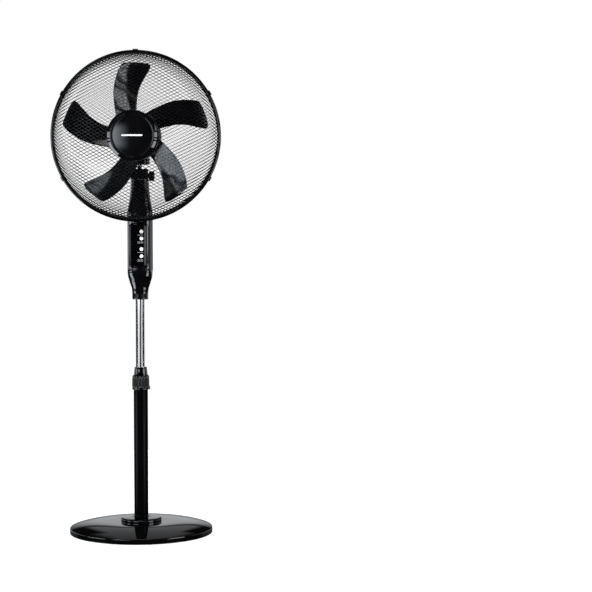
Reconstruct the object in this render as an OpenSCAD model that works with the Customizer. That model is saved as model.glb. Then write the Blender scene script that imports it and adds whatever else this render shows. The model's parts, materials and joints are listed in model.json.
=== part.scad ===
// Pedestal fan: round weighted base, telescopic column, control housing,
// tilting and swinging head with a five-blade fan in a latticed guard.
// Millimetres. +Z is up, -Y is the front, and the origin is the middle of
// the footprint on the floor. Inside the head, fan_axis() turns +Z forwards.

/* [Base] */
// Diameter of the base at its lower edge
base_d = 378; // [350:1:390]
// Height of the crown of the base
base_h = 32; // [31:0.5:34]
// Number of rubber feet
foot_count = 8; // [4:1:10]

/* [Column] */
// Height of the top of the lower tube
tube_top = 402; // [380:1:420]
// Height of the underside of the control housing
housing_bottom = 623; // [600:1:640]
// Number of grip ribs round the height lock nut
nut_ribs = 20; // [14:1:24]

/* [Head] */
// Outside diameter of the guard rim
guard_d = 444; // [443:1:460]
// How far the front guard bulges forward of its rim
front_depth = 65.5; // [60:0.5:72]
// How far the rear guard bulges behind its rim
rear_depth = 43.1; // [43:0.1:43.4]
// Windows round each ring of the guard lattice
lattice_cells = 24; // [18:1:28]
// Diameter swept by the blade tips
blade_d = 380; // [340:1:384]
// Number of blades
blade_count = 5; // [3:1:6]

/* [Controls] */
// Diameter of each push button
button_d = 9.8; // [8:0.2:10]
// How far a push button travels
button_travel = 1; // [0.5:0.1:1]

/* [Hidden] */
$fn = 48;

// Colours
gloss_black = [0.03, 0.03, 0.035];
satin_black = [0.08, 0.08, 0.085];
rubber_black = [0.05, 0.05, 0.05];
chrome = [0.78, 0.79, 0.8];
steel = [0.62, 0.63, 0.65];
cast_iron = [0.3, 0.3, 0.31];
white_plastic = [0.93, 0.93, 0.92];
nylon = [0.88, 0.87, 0.82];
copper = [0.72, 0.42, 0.2];
board_green = [0.08, 0.3, 0.16];

// Base
base_r = base_d / 2;
rim_bottom = 2.5;
rim_shoulder = 17;
crown_flat_r = 50;
cover_wall = 2.2;
foot_h = 3;
foot_r = 8;
foot_circle_r = base_r - 19;
foot_offset_angle = 14.4;
weight_plate_h = 4;
washer_top = 12.4;
washer_h = 1.6;
flange_r = 53.5;
flange_top = base_h + 10.5;

// Column
outer_tube_r = 18.8;
outer_tube_bore = 17.6;
inner_tube_r = 12.4;
inner_tube_bore = 11.4;
inner_tube_bottom = tube_top - 160;
collar_bottom = tube_top - 18;
nut_bottom = collar_bottom + 3.4;
nut_base_top = collar_bottom + 37;
nut_top = collar_bottom + 59;

// Control housing: height above its underside, width and depth
housing_wall = 2.2;
housing_sections = [
    [0, 42, 42], [16, 42.5, 42.5], [32, 47, 45], [48, 57, 53], [64, 64.5, 60], [80, 66, 62],
    [226, 66, 62], [242, 62, 56], [261, 56, 48], [292, 49, 41], [312, 46.5, 38]
];
housing_top = housing_bottom + 312;
panel_h = 119.5;
panel_mid = housing_bottom + 142.75;
panel_face_y = -33;
window_front_y = panel_face_y + 0.8;
window_back_y = window_front_y + 2;
button_x = 7.6;
button_heights = [179.5, 161.2, 133.6, 115];
board_y = -22;
screw_heights = [56, 246];
vent_count = 6;

// Tilt joint
tilt_h = housing_bottom + 325;
bolt_r = 2.95;
ear_in = 10.5;
ear_out = 21.5;
ear_r = 8;

// Swing drive: the pinion stands behind the spindle
spindle_r = 4;
gear_module = 0.8;
sector_teeth = 48;
pinion_teeth = 12;
pinion_y = gear_module * (sector_teeth + pinion_teeth) / 2;
gear_addendum = 0.6;
gear_dedendum = 0.9;
gear_backlash = 0.2;
sector_half_teeth = 6;
chin_bottom = tilt_h + 30;
gear_bottom = chin_bottom + 2.8;
gear_h = 5;
plate_bottom = gear_bottom + 6.2;

// Head, measured forwards along the blade axis
axis_h = tilt_h + 103;
rim_tube_r = 4;
rear_rim_tube_r = 3.5;
rim_r = guard_d / 2 - rim_tube_r;
front_rim_f = 84.5;
rear_rim_f = 76.3;
mesh_thick = 1.8;
lattice_rows = 8;
motor_r = 45.5;
cover_r = 51;
cover_rear_f = -92;
cover_front_f = 29.8;
shaft_r = 4;
shaft_end_f = 112;
hub_r = 64;
hub_back_f = 52;
hub_front_f = 100;
blade_r = blade_d / 2;
blade_thick = 2.4;
clip_pitch = 60;
clip_w = 12;

// Edges of a blade: radius and angle, seen from the front
trailing_edge = [[60, 65], [95, 53], [129, 45], [158, 37.5], [182, 30.5], [188, 27.5], [190, 24]];
leading_edge = [[60, 17.5], [95, 16.5], [129, 13], [158, 8.5], [182, 6], [188, 7], [190, 10]];

module fan_axis() translate([0, 0, axis_h]) rotate([90, 0, 0]) children();

// Ring between two radii
module tube(outer, inner, height) difference() {
    cylinder(r = outer, h = height);
    translate([0, 0, -1]) cylinder(r = inner, h = height + 2);
}

// Rounded rectangle centred on the origin, with true arcs at its corners
module rounded_rect(w, d, r) {
    square([w - 2 * r, d], center = true);
    square([w, d - 2 * r], center = true);
    for (x = [-1, 1], y = [-1, 1]) translate([x * (w / 2 - r), y * (d / 2 - r)]) circle(r);
}

// Rounded plate standing across the front of the housing, from y0 back to y1
module upright_plate(w, h, r, y0, y1, z, x = 0)
    translate([x, y1, z]) rotate([90, 0, 0]) linear_extrude(y1 - y0) rounded_rect(w, h, r);

// Rod along Y
module y_rod(r, y0, y1, x, z) translate([x, y1, z]) rotate([90, 0, 0]) cylinder(r = r, h = y1 - y0);

// Rod along X through the tilt axis
module x_rod(r, x0, x1) translate([x0, 0, tilt_h]) rotate([0, 90, 0]) cylinder(r = r, h = x1 - x0);

// ---------------------------------------------------------------- base

function crown(r) = rim_shoulder
    + (base_h - rim_shoulder) * (1 - pow(max(0, r - crown_flat_r) / (base_r - 2.5 - crown_flat_r), 3));

module base_cover() color(gloss_black) rotate_extrude($fn = 180) polygon(concat(
    [[6, base_h]],
    [for (i = [0:16]) let (r = crown_flat_r + (base_r - 3 - crown_flat_r) * i / 16) [r, crown(r)]],
    [for (a = [60:-20:0]) [base_r - 4 + 2.6 * cos(a), rim_shoulder - 2.6 + 2.6 * sin(a)]],
    [[base_r, rim_bottom], [base_r - cover_wall, rim_bottom]],
    [for (i = [16:-1:0]) let (r = crown_flat_r + (base_r - 5.5 - crown_flat_r) * i / 16)
        [r, crown(r) - cover_wall]],
    [[6, base_h - cover_wall]]
));

module base_weight() color(cast_iron) rotate_extrude() polygon([
    [14, foot_h], [base_r - 11, foot_h], [base_r - 11, foot_h + weight_plate_h],
    [34, foot_h + weight_plate_h], [28, base_h - cover_wall], [5.5, base_h - cover_wall],
    [5.5, washer_top], [14, washer_top]
]);

module base_feet() color(rubber_black) for (i = [0:foot_count - 1])
    rotate(foot_offset_angle + i * 360 / foot_count) translate([foot_circle_r, 0, 0])
        cylinder(r = foot_r, h = foot_h);

module pole_flange() color(gloss_black) rotate_extrude() polygon([
    [outer_tube_r + 0.1, base_h], [21, base_h], [21, flange_top - 3], [50.8, flange_top - 4.5],
    [50.8, base_h], [flange_r, base_h], [flange_r, flange_top - 3], [flange_r - 0.9, flange_top - 1.2],
    [flange_r - 3, flange_top - 0.4], [flange_r - 6, flange_top], [outer_tube_r + 0.1, flange_top]
]);

module tube_foot_plug() color(steel) translate([0, 0, base_h]) tube(outer_tube_bore - 0.1, 5, 30);

module base_bolt() color(steel) {
    translate([0, 0, washer_top - washer_h - 6.4]) cylinder(r = 8.5, h = 6.4, $fn = 6);
    translate([0, 0, washer_top - washer_h]) cylinder(r = 4.9, h = base_h + 24 - washer_top + washer_h);
}

module base_washer() color(steel) translate([0, 0, washer_top - washer_h]) tube(13, 5, washer_h);

module outer_tube() color(gloss_black) translate([0, 0, base_h])
    tube(outer_tube_r, outer_tube_bore, tube_top - base_h);

// ------------------------------------------------------- height lock

module collar_body() color(satin_black) difference() {
    union() {
        translate([0, 0, collar_bottom]) cylinder(r = 19.9, h = 32);
        translate([0, 0, collar_bottom]) cylinder(r = 22.8, h = 3);
        intersection() {
            translate([18, -5, collar_bottom]) cube([8, 10, 8]);
            translate([0, 0, collar_bottom]) difference() {
                cylinder(r = 24.8, h = 8);
                translate([0, 0, 3]) cylinder(r = 23.3, h = 6);
            }
        }
    }
    translate([0, 0, collar_bottom - 1]) cylinder(r = outer_tube_r + 0.05, h = 19);
    translate([0, 0, collar_bottom]) cylinder(r = inner_tube_r + 0.5, h = 40);
}

module height_lock_nut() color(satin_black) difference() {
    union() {
        translate([0, 0, nut_bottom]) cylinder(r1 = 22, r2 = 21.6, h = nut_base_top - nut_bottom);
        translate([0, 0, nut_base_top]) cylinder(r1 = 18.4, r2 = 16, h = nut_top - nut_base_top);
        for (i = [0:nut_ribs - 1]) rotate(i * 360 / nut_ribs)
            translate([21.4, 0, nut_bottom + 1]) cylinder(r = 1.5, h = nut_base_top - nut_bottom - 2, $fn = 24);
    }
    translate([0, 0, nut_bottom - 1]) cylinder(r = 20.3, h = 32.1);
    translate([0, 0, nut_bottom]) cylinder(r = 14.7, h = nut_top - nut_bottom - 4);
    translate([0, 0, nut_bottom]) cylinder(r = inner_tube_r + 0.4, h = 80);
}

module clamp_collet() color(nylon) difference() {
    translate([0, 0, collar_bottom + 32.2]) tube(14.3, inner_tube_r + 0.06, 21.8);
    translate([0, -1, collar_bottom + 32]) cube([20, 2, 30]);
}

// ------------------------------------------------------------ column

module inner_tube() color(chrome) translate([0, 0, inner_tube_bottom])
    tube(inner_tube_r, inner_tube_bore, housing_bottom + 42 - inner_tube_bottom);

module tube_end_bush() color(nylon) difference() {
    translate([0, 0, inner_tube_bottom - 4]) cylinder(r = outer_tube_bore - 0.1, h = 26);
    translate([0, 0, inner_tube_bottom]) cylinder(r = inner_tube_r + 0.05, h = 30);
    translate([0, 0, inner_tube_bottom - 5]) cylinder(r = 8, h = 30);
}

// ----------------------------------------------------- control housing

// Outline of the housing at one section, shrunk by inset: round at the
// bottom, squarer across the panel
function housing_ring(section, inset) =
    let (squareness = section[0] > 60 && section[0] < 240 ? 2.8 : 2.2)
    [for (i = [0:43]) let (a = i * 360 / 44, c = cos(a), s = sin(a)) [
        (section[1] / 2 - inset) * sign(c) * pow(abs(c), 2 / squareness),
        (section[2] / 2 - inset) * sign(s) * pow(abs(s), 2 / squareness),
        housing_bottom + section[0]
    ]];

// Solid housing, made of the hulls between neighbouring sections
module housing_loft(inset) for (k = [0:len(housing_sections) - 2]) hull() {
    lower = housing_ring(housing_sections[k], inset);
    upper = housing_ring(housing_sections[k + 1], inset);
    count = len(lower);
    polyhedron(concat(lower, upper), concat(
        [[for (i = [0:count - 1]) i], [for (i = [count - 1:-1:0]) count + i]],
        [for (i = [0:count - 1]) [i, count + i, count + (i + 1) % count, (i + 1) % count]]
    ));
}

// Shell with the tube socket and two ribs that clasp the neck
module housing_shell() difference() {
    union() {
        housing_loft(0);
        upright_plate(51.6, panel_h, 12, panel_face_y, -20, panel_mid);
    }
    difference() {
        housing_loft(housing_wall);
        translate([0, 0, housing_bottom - 1]) tube(30, inner_tube_r + 0.15, 36);
        for (z = [268, 302]) translate([0, 0, housing_bottom + z]) tube(30, 15.7, 3);
        for (z = screw_heights) y_rod(4.5, -40, 40, 0, housing_bottom + z);
        for (x = [-1, 1], z = [-51, 51]) y_rod(2.6, -31, board_y, x * 18.4, panel_mid + z);
    }
    for (z = [-1, 311]) translate([0, 0, housing_bottom + z]) cylinder(r = 15.7, h = 2);
    translate([0, 0, housing_bottom - 1]) cylinder(r = inner_tube_r + 0.15, h = 44);
}

module housing_front() color(gloss_black) difference() {
    housing_shell();
    translate([-50, 0, 0]) cube([100, 60, housing_top + 10]);
    upright_plate(43, panel_h - 9, 8, panel_face_y - 1, window_back_y, panel_mid);
    upright_plate(30, panel_h - 25, 4, panel_face_y - 1, -20, panel_mid);
    for (z = screw_heights) y_rod(1.55, -15, 1, 0, housing_bottom + z);
    chin_vents();
}

module housing_rear() color(gloss_black) difference() {
    housing_shell();
    translate([-50, -60, 0]) cube([100, 60, housing_top + 10]);
    y_rod(7.5, 20, 40, 0, housing_bottom + 85);
    y_rod(3.2, 5, 40, 0, housing_bottom + 20);
    for (z = screw_heights) {
        y_rod(1.7, -1, 40, 0, housing_bottom + z);
        y_rod(3.4, 18, 40, 0, housing_bottom + z);
    }
}

// A ladder of small square vents slanting inwards down each side of the chin
module chin_vents() for (side = [-1, 1], i = [0:vent_count - 1])
    translate([side * (28 - 3 * i), -26, housing_bottom + 66.2 - 3.7 * i]) cube([2.6, 28, 2.4], center = true);

module panel_window() color(gloss_black) difference() {
    upright_plate(42.6, panel_h - 9.4, 7.8, window_front_y, window_back_y, panel_mid);
    for (z = button_heights)
        y_rod(button_d / 2 + 0.35, window_front_y - 1, window_back_y + 1, button_x, housing_bottom + z);
}

module control_board() color(board_green)
    upright_plate(42, panel_h - 12, 2, board_y, board_y + 1.6, panel_mid);

module tact_switches() color(satin_black) for (z = button_heights)
    upright_plate(6, 6, 0.6, board_y - 4.3, board_y, housing_bottom + z, button_x);

module ir_receiver() color(satin_black) {
    translate([-12, board_y - 3, panel_mid + 36]) cube([6, 3, 7]);
    y_rod(2.2, board_y - 5, board_y - 3, -9, panel_mid + 39.5);
}

module housing_screws() color(steel) for (z = screw_heights) {
    y_rod(1.5, -13, 18.2, 0, housing_bottom + z);
    y_rod(3, 18.2, 20.4, 0, housing_bottom + z);
}

module cord_grommet() color(rubber_black) translate([0, 0, housing_bottom + 85]) rotate([-90, 0, 0]) {
    translate([0, 0, 26]) tube(7.4, 3.6, 6);
    translate([0, 0, 31.2]) tube(9, 3.6, 3);
}

module tube_clamp_screw() color(steel) {
    y_rod(3, inner_tube_r + 0.3, 23, 0, housing_bottom + 20);
    y_rod(4.6, 22.3, 24.8, 0, housing_bottom + 20);
}

module push_button(z) color(white_plastic) {
    y_rod(button_d / 2, panel_face_y + 0.1, window_back_y + 1.5, button_x, housing_bottom + z);
    y_rod(6.3, window_back_y + 0.3, window_back_y + 1.5, button_x, housing_bottom + z);
    y_rod(2, window_back_y + 1.5, board_y - 4.5 - button_travel, button_x, housing_bottom + z);
}

// --------------------------------------------------------- tilt joint

// Ear of the fork: an outline seen from the front, as deep as the tilt lug
module ear(outline) translate([0, ear_r, 0]) rotate([90, 0, 0]) linear_extrude(2 * ear_r)
    polygon([for (p = outline) [p[0], tilt_h + p[1]]]);

// The left ear is tall and reaches over the bracket, the right ear is square
module neck_fork() color(gloss_black) difference() {
    union() {
        translate([0, 0, housing_top - 47]) cylinder(r = 15.5, h = 48);
        translate([0, 0, housing_top + 0.2]) linear_extrude(4.8) rounded_rect(47, 38, 18.9);
        ear([[-ear_in, -9], [-23.4, -9], [-23.4, -2], [-19.2, 11], [-13.6, 24], [-12.4, 26],
            [-ear_in, 26.5], [-6.8, 26.5], [-6.8, 21.6], [-ear_in, 21.6]]);
        ear([[ear_in, -9], [ear_out, -9], [ear_out, 17], [ear_out - 2, 19], [ear_in, 19]]);
    }
    x_rod(bolt_r + 0.05, -30, 30);
    x_rod(ear_r + 0.9, -ear_in, ear_in);
    translate([-30, 0, tilt_h]) rotate([0, 90, 0]) cylinder(r = 5.95, h = 12.4, $fn = 6);
    translate([0, 0, housing_top - 48]) cylinder(r = 6, h = 40);
}

module tilt_nut() color(steel) translate([-22.6, 0, tilt_h]) rotate([0, 90, 0]) difference() {
    cylinder(r = 5.77, h = 5, $fn = 6);
    translate([0, 0, -1]) cylinder(r = bolt_r + 0.05, h = 7);
}

module tilt_bolt() color(steel) x_rod(bolt_r, -22.8, 34);

module tilt_knob() color(gloss_black) difference() {
    union() {
        x_rod(12.2, 25, 38);
        x_rod(6.5, ear_out + 0.4, 26);
        for (a = [0:60:300]) translate([26, 0, tilt_h]) rotate([a, 0, 0]) translate([0, 9.5, 0])
            rotate([0, 90, 0]) cylinder(r = 4.9, h = 11, $fn = 32);
    }
    x_rod(bolt_r + 0.05, 20, 34);
}

module tilt_bracket() color(satin_black) difference() {
    union() {
        x_rod(ear_r - 0.2, -10, 10);
        translate([-10, 0.2 - ear_r, tilt_h]) cube([20, 2 * ear_r - 0.4, 19]);
        translate([0, 0, tilt_h + 18]) cylinder(r = 5.4, h = 7);
    }
    x_rod(bolt_r + 0.07, -30, 30);
    translate([0, 0, tilt_h + 5.5]) cylinder(r = spindle_r + 0.02, h = 24);
}

// -------------------------------------------------------- swing drive

// Point on the involute of a base circle, unrolled by an angle in degrees
function involute(base, a) = base * [cos(a) + a * PI / 180 * sin(a), sin(a) - a * PI / 180 * cos(a)];
function turned(p, a) = [p[0] * cos(a) - p[1] * sin(a), p[0] * sin(a) + p[1] * cos(a)];

// Lower flank of a 20 degree tooth centred on +X, from its foot to its tip
function tooth_flank(teeth) =
    let (pitch_r = gear_module * teeth / 2,
        base = pitch_r * cos(20),
        root = pitch_r - gear_dedendum,
        tip_roll = sqrt(pow((pitch_r + gear_addendum) / base, 2) - 1) * 180 / PI,
        foot_roll = root > base ? sqrt(pow(root / base, 2) - 1) * 180 / PI : 0,
        half_angle = 90 / teeth - gear_backlash / 2 / pitch_r * 180 / PI + (tan(20) * 180 / PI - 20))
    concat(root < base ? [turned([root, 0], -half_angle)] : [],
        [for (i = [0:5]) turned(involute(base, foot_roll + (tip_roll - foot_roll) * i / 5), -half_angle)]);

// Outline of the teeth numbered first to last, counted from angle 0
function teeth_outline(teeth, first, last, offset_angle) =
    let (flank = tooth_flank(teeth), points = len(flank))
    [for (i = [first:last]) let (a = offset_angle + i * 360 / teeth) each concat(
        [for (p = flank) turned(p, a)],
        [for (k = [points - 1:-1:0]) turned([flank[k][0], -flank[k][1]], a)])];

module swing_spindle() color(steel) translate([0, 0, tilt_h + 6]) cylinder(r = spindle_r, h = 45);

module sector_gear() color(nylon) difference() {
    union() {
        translate([0, 0, tilt_h + 25]) cylinder(r = 5.4, h = 9);
        translate([0, 0, gear_bottom]) linear_extrude(gear_h) polygon(concat(
            teeth_outline(sector_teeth, -sector_half_teeth, sector_half_teeth, 90),
            [for (a = [165:15:375]) 12 * [cos(a), sin(a)]]
        ));
    }
    translate([0, 0, tilt_h + 24]) cylinder(r = spindle_r + 0.02, h = 20);
}

module swing_pinion() color(nylon) translate([0, pinion_y, gear_bottom]) {
    linear_extrude(gear_h) polygon(teeth_outline(pinion_teeth, 0, pinion_teeth - 1, 90 + 180 / pinion_teeth));
    cylinder(r = 2, h = gear_h + 7);
}

module swing_motor() color(steel) translate([0, pinion_y, plate_bottom + 3.2]) difference() {
    union() {
        cylinder(r = 16, h = 12);
        linear_extrude(1.2) rounded_rect(39, 8, 3.5);
    }
    translate([0, 0, -1]) cylinder(r = 2.05, h = 5);
}

module swing_bush() color(nylon) translate([0, 0, plate_bottom - 0.6]) tube(6, spindle_r + 0.05, 12.6);

// --------------------------------------------------------------- motor

// Front end frame with the foot that carries the whole head on the spindle
module motor_front_bracket() color(steel) difference() {
    union() {
        fan_axis() {
            translate([0, 0, 30]) cylinder(r = 48, h = 3);
            tube(motor_r, motor_r - 3.1, 31);
            translate([0, 0, 32]) cylinder(r = 22, h = 13);
            translate([0, 0, 22]) cylinder(r = 13, h = 9);
        }
        translate([0, 15, plate_bottom]) linear_extrude(3) rounded_rect(34, 54, 11.5);
        translate([-11.5, -11, plate_bottom + 1]) cube([23, 10.5, 20]);
        translate([0, 0, plate_bottom - 0.6]) cylinder(r = 7.5, h = 12.6);
    }
    fan_axis() {
        translate([0, 0, 21]) cylinder(r = 9.1, h = 15);
        cylinder(r = 6, h = 60);
        for (a = [0:60:300]) rotate(a) translate([33, 0, 25]) cylinder(r = 5, h = 10);
    }
    translate([0, 0, plate_bottom - 4]) cylinder(r = 6.05, h = 16.2);
    translate([0, pinion_y, plate_bottom - 1]) cylinder(r = 4, h = 8);
}

module motor_rear_bracket() color(steel) fan_axis() translate([0, 0, -52]) difference() {
    union() {
        tube(motor_r, motor_r - 3.1, 32);
        cylinder(r = motor_r, h = 3);
        translate([0, 0, -10]) cylinder(r = 13, h = 14);
    }
    translate([0, 0, -8]) cylinder(r = 9.1, h = 20);
    for (a = [0:60:300]) rotate(a) translate([30, 0, -1]) cylinder(r = 6, h = 6);
}

module stator_core() color(steel) fan_axis() translate([0, 0, -28]) difference() {
    cylinder(r = motor_r - 3.3, h = 36);
    translate([0, 0, -1]) cylinder(r = 24, h = 38);
    for (a = [0:22.5:337.5]) rotate(a) translate([32, 0, 18]) cube([10, 3.4, 40], center = true);
}

module stator_coils() color(copper) fan_axis() for (f = [-40, 8.4]) translate([0, 0, f]) tube(40, 26, 11.5);

module motor_bearings() color(steel) fan_axis() for (f = [24, -60]) translate([0, 0, f])
    tube(9, shaft_r + 0.05, f > 0 ? 12 : 10);

module run_capacitor() color(satin_black) fan_axis() translate([0, 18, -78]) linear_extrude(15)
    rounded_rect(28, 16, 2);

module rotor_core() color(steel) fan_axis() translate([0, 0, -28]) tube(23.4, shaft_r + 0.02, 36);

module motor_shaft() color(steel) fan_axis() difference() {
    translate([0, 0, -58]) cylinder(r = shaft_r, h = shaft_end_f + 58);
    translate([-20, 0, 58]) rotate([0, 90, 0]) cylinder(r = 1.55, h = 40);
}

module shaft_pin() color(steel) fan_axis() translate([-13, 0, 58]) rotate([0, 90, 0]) cylinder(r = 1.5, h = 26);

// Profile of the rounded motor casing, shrunk by inset
function cover_profile(inset) =
    let (front = cover_front_f + (inset > 0 ? 1 : 0))
    concat([[0, front], [cover_r - inset, front]],
        [for (a = [0:9:90])
            [(cover_r - 1 - inset) * pow(cos(a), 2 / 3), -20 + (cover_rear_f + 20 + inset) * pow(sin(a), 2 / 3)]]
    );

// Round motor casing with a chin below it round the swing drive
module motor_cover() color(gloss_black) difference() {
    union() {
        fan_axis() rotate_extrude() polygon(cover_profile(0));
        translate([0, 17, chin_bottom]) linear_extrude(40) rounded_rect(45, 64, 16);
    }
    fan_axis() rotate_extrude() polygon(cover_profile(cover_wall));
    translate([0, 17, chin_bottom + cover_wall]) linear_extrude(50) rounded_rect(40.6, 59.6, 13.8);
    translate([0, 0, chin_bottom - 1]) cylinder(r = 9, h = 5);
    fan_axis() for (i = [0:15]) rotate(i * 22.5) translate([14, -1.5, -100]) cube([20, 3, 40]);
}

// --------------------------------------------------------------- guard

// A closed dome of rhombic windows between two rings. The dome is flat in
// the middle and steep at the rim: its height follows a fourth-power curve.
module lattice_dome(edge_r, rim_f, depth, inner_r, bore_r) {
    rows = lattice_rows;
    cells = lattice_cells;
    step = 360 / cells;
    window_inset = 0.11;
    reach = edge_r * 0.9993;
    ring_r = concat([for (j = [0:rows]) inner_r + (reach - inner_r) * sin(90 * j / rows)], [bore_r]);

    function slope(r) = 2 * depth / edge_r * pow(r / edge_r, 3) / sqrt(1 - pow(r / edge_r, 4));
    function on_dome(r, a, inward) =
        let (normal = [slope(r), 1] / norm([slope(r), 1]),
            radial = r - normal[0] * inward)
        [radial * cos(a), radial * sin(a),
            rim_f + depth * sqrt(1 - pow(r / edge_r, 4)) - normal[1] * inward];
    function knot(j, i) = j * cells + (i + cells) % cells;
    function bore(i) = (rows + 1) * cells + i % cells;
    function angle(j, i) = (i + (j <= rows ? j % 2 : 0) / 2) * step;

    windows = concat(
        [for (i = [0:cells - 1]) [knot(0, i), knot(1, i), knot(0, i + 1)]],
        [for (j = [0:rows - 2], i = [0:cells - 1])
            [knot(j, i), knot(j + 1, i - 1 + j % 2), knot(j + 2, i), knot(j + 1, i + j % 2)]],
        [for (i = [0:cells - 1]) [knot(rows - 1, i), knot(rows, i), knot(rows, i + 1)]]
    );
    function middle(points, ids, k = 0) =
        k == len(ids) ? [0, 0, 0] : points[ids[k]] / len(ids) + middle(points, ids, k + 1);
    function starts(list, k = 0, at = 0) =
        k == len(list) ? [] : concat([at], starts(list, k + 1, at + len(list[k])));
    function skin(inward) =
        let (knots = [for (j = [0:rows + 1], i = [0:cells - 1]) on_dome(ring_r[j], angle(j, i), inward)])
        concat(knots, [for (w = windows) let (c = middle(knots, w))
            for (id = w) knots[id] + (c - knots[id]) * window_inset]);

    outer = skin(0);
    inner = skin(mesh_thick);
    total = len(outer);
    first = starts(windows);
    corner_base = (rows + 2) * cells;
    frames = [for (w = [0:len(windows) - 1]) let (ids = windows[w], n = len(ids))
        for (k = [0:n - 1]) let (a = corner_base + first[w] + k, b = corner_base + first[w] + (k + 1) % n)
            [a, b, ids[(k + 1) % n], ids[k]]];
    band = [for (i = [0:cells - 1]) [bore(i + 1), knot(0, i + 1), knot(0, i), bore(i)]];
    function back(list) = [for (face = list) [for (k = [len(face) - 1:-1:0]) face[k] + total]];
    function wall(a, b) = [b, a, a + total, b + total];

    polyhedron(concat(outer, inner), concat(
        frames, back(frames), band, back(band),
        [for (face = frames) wall(face[0], face[1])],
        [for (i = [0:cells - 1]) wall(bore(i), bore(i + 1))],
        [for (i = [0:cells - 1]) wall(knot(rows, i + 1), knot(rows, i))]
    ));
}

module front_guard_mesh() color(satin_black) fan_axis()
    lattice_dome(rim_r - rim_tube_r, front_rim_f, front_depth, 62, 50);

module rear_guard_mesh() color(satin_black) fan_axis() translate([0, 0, rear_rim_f]) mirror([0, 0, 1])
    lattice_dome(rim_r - rear_rim_tube_r, 0, rear_depth, 60, 22.5);

module guard_rim(tube_r, f) fan_axis() translate([0, 0, f]) rotate_extrude($fn = 180)
    translate([rim_r, 0]) circle(r = tube_r);

module front_guard_rim() color(gloss_black) guard_rim(rim_tube_r, front_rim_f);

module rear_guard_rim() color(gloss_black) guard_rim(rear_rim_tube_r, rear_rim_f);

module guard_nut() color(satin_black) fan_axis() translate([0, 0, 35.2]) {
    tube(38, 22.4, 2.6);
    tube(27, 22.4, 8.8);
    for (a = [0:60:300]) rotate(a) translate([26, -1.5, 0]) cube([10, 3, 8]);
}

module front_badge() color(gloss_black) fan_axis() rotate_extrude() polygon([
    [0, 156], [46.4, 155.6], [46.4, 145], [48.6, 145], [48.6, 150.2], [65.2, 150.2], [65.2, 151.6],
    [64.4, 152.6], [56.5, 157.2], [54.8, 157.6], [30, 158.2], [0, 158.5]
]);

// --------------------------------------------------------------- rotor

// Surface of one blade: u runs from the leading to the trailing edge
function blade_point(r, u, side) =
    let (lead = lookup(r, leading_edge), trail = lookup(r, trailing_edge),
        a = lead + (trail - lead) * u,
        span = 36 - 6 * (r - hub_r) / (blade_r - hub_r),
        edge = min(1, 0.45 + 4 * u * (1 - u)),
        f = 84 + (u - 0.5) * span - 14 * u * (1 - u))
    [r * cos(a), r * sin(a), f + side * blade_thick / 2 * edge];

module blade() {
    scale_r = blade_r / 190;
    across = 8;
    radii = [for (r = [61, 78, 95, 112, 129, 144, 158, 170, 182, 188, 190]) r];
    rings = len(radii);
    points = [for (side = [1, -1], r = radii, i = [0:across])
        let (p = blade_point(r, i / across, side)) [p[0] * scale_r, p[1] * scale_r, p[2]]];
    function at(side, j, i) = side * rings * (across + 1) + j * (across + 1) + i;
    polyhedron(points, concat(
        [for (j = [0:rings - 2], i = [0:across - 1])
            [at(0, j, i), at(0, j, i + 1), at(0, j + 1, i + 1), at(0, j + 1, i)]],
        [for (j = [0:rings - 2], i = [0:across - 1])
            [at(1, j, i), at(1, j + 1, i), at(1, j + 1, i + 1), at(1, j, i + 1)]],
        [for (i = [0:across - 1]) [at(0, 0, i + 1), at(0, 0, i), at(1, 0, i), at(1, 0, i + 1)]],
        [for (i = [0:across - 1])
            [at(0, rings - 1, i), at(0, rings - 1, i + 1), at(1, rings - 1, i + 1), at(1, rings - 1, i)]],
        [for (j = [0:rings - 2]) [at(0, j, 0), at(0, j + 1, 0), at(1, j + 1, 0), at(1, j, 0)]],
        [for (j = [0:rings - 2])
            [at(0, j + 1, across), at(0, j, across), at(1, j, across), at(1, j + 1, across)]]
    ));
}

// Hub cup with ribs behind its front wall and the blades round it
module fan_blade() color(gloss_black) fan_axis() difference() {
    union() {
        difference() {
            translate([0, 0, hub_back_f]) cylinder(r = hub_r, h = hub_front_f - hub_back_f);
            translate([0, 0, hub_back_f - 1]) cylinder(r = hub_r - 2.5, h = hub_front_f - hub_back_f - 2);
        }
        translate([0, 0, hub_back_f]) cylinder(r = 11, h = hub_front_f - hub_back_f);
        for (i = [0:9]) rotate(i * 36) hull() {
            translate([10, 0, 66]) cylinder(r = 0.9, h = 32, $fn = 12);
            translate([hub_r - 2, 0, 84]) cylinder(r = 0.9, h = 14, $fn = 12);
        }
        for (i = [0:blade_count - 1]) rotate(i * 360 / blade_count) blade();
    }
    translate([0, 0, hub_back_f - 1]) cylinder(r = shaft_r + 0.05, h = 60);
    translate([-13.5, -1.7, hub_back_f - 1]) cube([27, 3.4, 9]);
}

module spinner_nut() color(satin_black) fan_axis() translate([0, 0, hub_front_f + 0.3]) difference() {
    union() {
        cylinder(r = 17, h = 4);
        cylinder(r1 = 12.5, r2 = 11, h = 14);
        for (a = [0:72:288]) rotate(a) translate([9, -1.6, 0]) cube([7, 3.2, 12]);
    }
    translate([0, 0, -1]) cylinder(r = shaft_r + 0.05, h = shaft_end_f - hub_front_f + 1.5);
}

// --------------------------------------------------------- guard clips

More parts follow.
